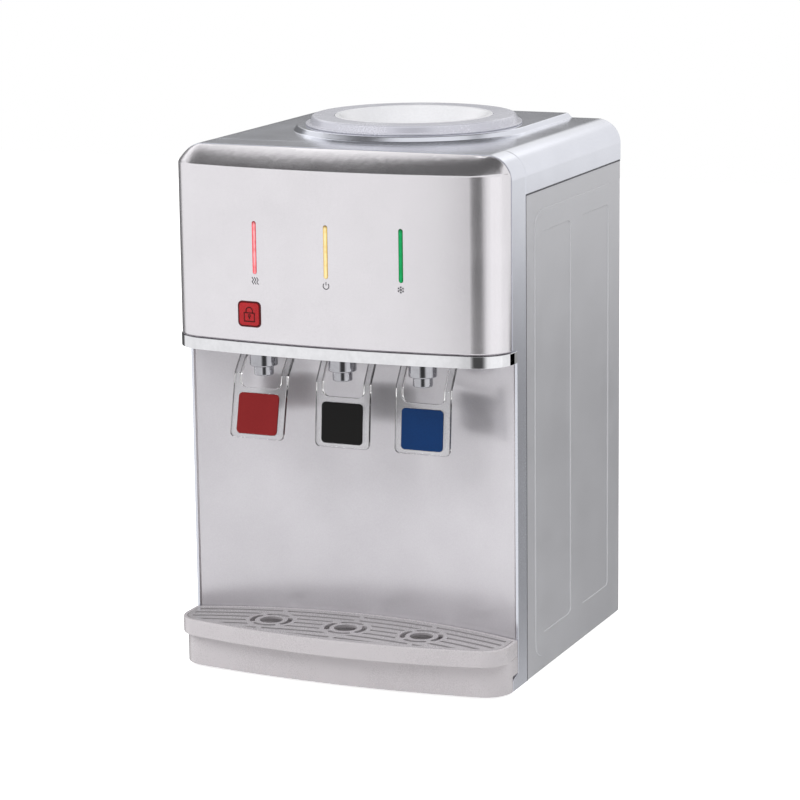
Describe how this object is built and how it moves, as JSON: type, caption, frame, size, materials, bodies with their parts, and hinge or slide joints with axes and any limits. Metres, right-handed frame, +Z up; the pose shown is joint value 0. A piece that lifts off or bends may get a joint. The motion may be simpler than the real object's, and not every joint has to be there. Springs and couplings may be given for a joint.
{
  "type": "countertop water dispenser",
  "caption": "Silver table-top dispenser with a bottle seat on top, light bars and a child lock on the bevelled front, clear push levers for hot, room-temperature and cold taps, and a drip tray.",
  "frame": {"origin": "on the table, under the middle of the overall box", "axes": "+X to the right of the front, +Y to the back, +Z up"},
  "size_m": [0.3116, 0.338, 0.48],
  "materials": {
    "silver_abs": "silver metallic paint on moulded ABS, satin gloss",
    "pearl_abs": "pearl silver moulded sheet, satin gloss",
    "grey_abs": "light silver moulded ring, satin gloss",
    "white_abs": "white food-safe moulded plastic",
    "chrome": "chrome plated plastic, mirror bright",
    "silver_steel": "silver powder-coated pressed steel sheet",
    "zinc_steel": "zinc plated sheet steel",
    "stainless": "drawn stainless steel",
    "clear_acrylic": "clear moulded acrylic",
    "red_pad": "red printed plate",
    "black_pad": "black printed plate",
    "blue_pad": "blue printed plate",
    "red_lens": "red light bar",
    "amber_lens": "pale amber light bar",
    "green_lens": "green light bar",
    "red_button": "translucent red button",
    "black_abs": "black moulded plastic",
    "board": "green circuit board",
    "foam": "soft insulating foam",
    "aluminium": "bare extruded aluminium",
    "rubber": "black rubber",
    "silicone": "translucent silicone hose"
  },
  "bodies": {
    "cabinet": {"ambient_spout": "chrome", "ambient_tap_body": "white_abs", "ambient_tap_boot": "rubber", "base_pan": "zinc_steel", "base_plinth": "silver_abs", "bottle_collar": "grey_abs", "chrome_trim": "chrome", "cold_block": "aluminium", "cold_light": "green_lens", "cold_spout": "chrome", "cold_tank": "stainless", "cold_tank_jacket": "foam", "cold_tap_body": "white_abs", "cold_tap_boot": "rubber", "cord_gland": "black_abs", "drain_spout": "white_abs", "fan_frame": "black_abs", "fascia": "silver_abs", "feet": "rubber", "front_frame": "silver_abs", "heat_sink": "aluminium", "hot_light": "red_lens", "hot_spout": "chrome", "hot_tank": "stainless", "hot_tank_jacket": "foam", "hot_tap_body": "white_abs", "hot_tap_boot": "rubber", "indicator_board": "board", "left_side_panel": "silver_steel", "lock_bezel": "black_abs", "lower_front_panel": "pearl_abs", "panel_screws": "zinc_steel", "pivot_pins": "zinc_steel", "power_board": "board", "power_light": "amber_lens", "rear_panel": "silver_steel", "right_side_panel": "silver_steel", "switch_housings": "black_abs", "tap_bay_cover": "silver_abs", "tap_bulkhead": "zinc_steel", "top_cover": "silver_abs", "water_hoses": "silicone"},
    "hot_lever": {"hot_lever": "clear_acrylic", "hot_lever_pad": "red_pad"},
    "ambient_lever": {"ambient_lever": "clear_acrylic", "ambient_lever_pad": "black_pad"},
    "cold_lever": {"cold_lever": "clear_acrylic", "cold_lever_pad": "blue_pad"},
    "hot_plunger": {"hot_plunger": "white_abs"},
    "ambient_plunger": {"ambient_plunger": "white_abs"},
    "cold_plunger": {"cold_plunger": "white_abs"},
    "lock_button": {"child_lock_button": "red_button"},
    "tray": {"drip_tray": "silver_abs"},
    "grille": {"drip_grille": "silver_abs"},
    "funnel": {"bottle_funnel": "white_abs", "feed_probe": "white_abs"},
    "heating_rocker": {"heating_rocker": "black_abs"},
    "cooling_rocker": {"cooling_rocker": "black_abs"},
    "fan": {"fan_rotor": "black_abs"},
    "drain_cap": {"drain_cap": "white_abs"}
  },
  "joints": [
    {"name": "hot_lever_hinge", "type": "hinge", "parent": "cabinet", "child": "hot_lever", "pos_m": [-0.0752, -0.0965, 0.315], "axis": [1, 0, 0], "range_deg": [0, 10], "stiffness_Nm_per_rad": 2, "springref_deg": -5.73},
    {"name": "hot_plunger_slide", "type": "slide", "parent": "cabinet", "child": "hot_plunger", "axis": [0, 0, 1], "range_m": [-0.0056, 0], "deforming": ["hot_tap_boot"]},
    {"name": "ambient_lever_hinge", "type": "hinge", "parent": "cabinet", "child": "ambient_lever", "pos_m": [0, -0.0965, 0.315], "axis": [1, 0, 0], "range_deg": [0, 10], "stiffness_Nm_per_rad": 2, "springref_deg": -5.73},
    {"name": "ambient_plunger_slide", "type": "slide", "parent": "cabinet", "child": "ambient_plunger", "axis": [0, 0, 1], "range_m": [-0.0056, 0], "deforming": ["ambient_tap_boot"]},
    {"name": "cold_lever_hinge", "type": "hinge", "parent": "cabinet", "child": "cold_lever", "pos_m": [0.0752, -0.0965, 0.315], "axis": [1, 0, 0], "range_deg": [0, 10], "stiffness_Nm_per_rad": 2, "springref_deg": -5.73},
    {"name": "cold_plunger_slide", "type": "slide", "parent": "cabinet", "child": "cold_plunger", "axis": [0, 0, 1], "range_m": [-0.0056, 0], "deforming": ["cold_tap_boot"]},
    {"name": "lock_button_press", "type": "slide", "parent": "cabinet", "child": "lock_button", "axis": [0.0823, 0.9966, 0], "range_m": [0, 0.002], "stiffness_N_per_m": 400, "springref_m": -0.001},
    {"name": "tray_lift", "type": "slide", "parent": "cabinet", "child": "tray", "axis": [0, 0, 1], "range_m": [0, 0.06]},
    {"name": "grille_lift", "type": "slide", "parent": "tray", "child": "grille", "axis": [0, 0, 1], "range_m": [0, 0.04]},
    {"name": "funnel_lift", "type": "slide", "parent": "cabinet", "child": "funnel", "axis": [0, 0, 1], "range_m": [0, 0.08]},
    {"name": "heating_rocker_tilt", "type": "hinge", "parent": "cabinet", "child": "heating_rocker", "pos_m": [0.1, 0.1545, 0.123], "axis": [1, 0, 0], "range_deg": [0, 20]},
    {"name": "cooling_rocker_tilt", "type": "hinge", "parent": "cabinet", "child": "cooling_rocker", "pos_m": [0.124, 0.1545, 0.123], "axis": [1, 0, 0], "range_deg": [0, 20]},
    {"name": "fan_spin", "type": "hinge", "parent": "cabinet", "child": "fan", "pos_m": [0, 0.1412, 0.373], "axis": [0, 1, 0], "continuous": true},
    {"name": "drain_cap_pull", "type": "slide", "parent": "cabinet", "child": "drain_cap", "axis": [0, 1, 0], "range_m": [0, 0.02]}
  ],
  "couplings": [
    {"joint": "hot_plunger_slide", "follows": "hot_lever_hinge", "m_per_rad": -0.02748},
    {"joint": "ambient_plunger_slide", "follows": "ambient_lever_hinge", "m_per_rad": -0.03143},
    {"joint": "cold_plunger_slide", "follows": "cold_lever_hinge", "m_per_rad": -0.03143}
  ]
}
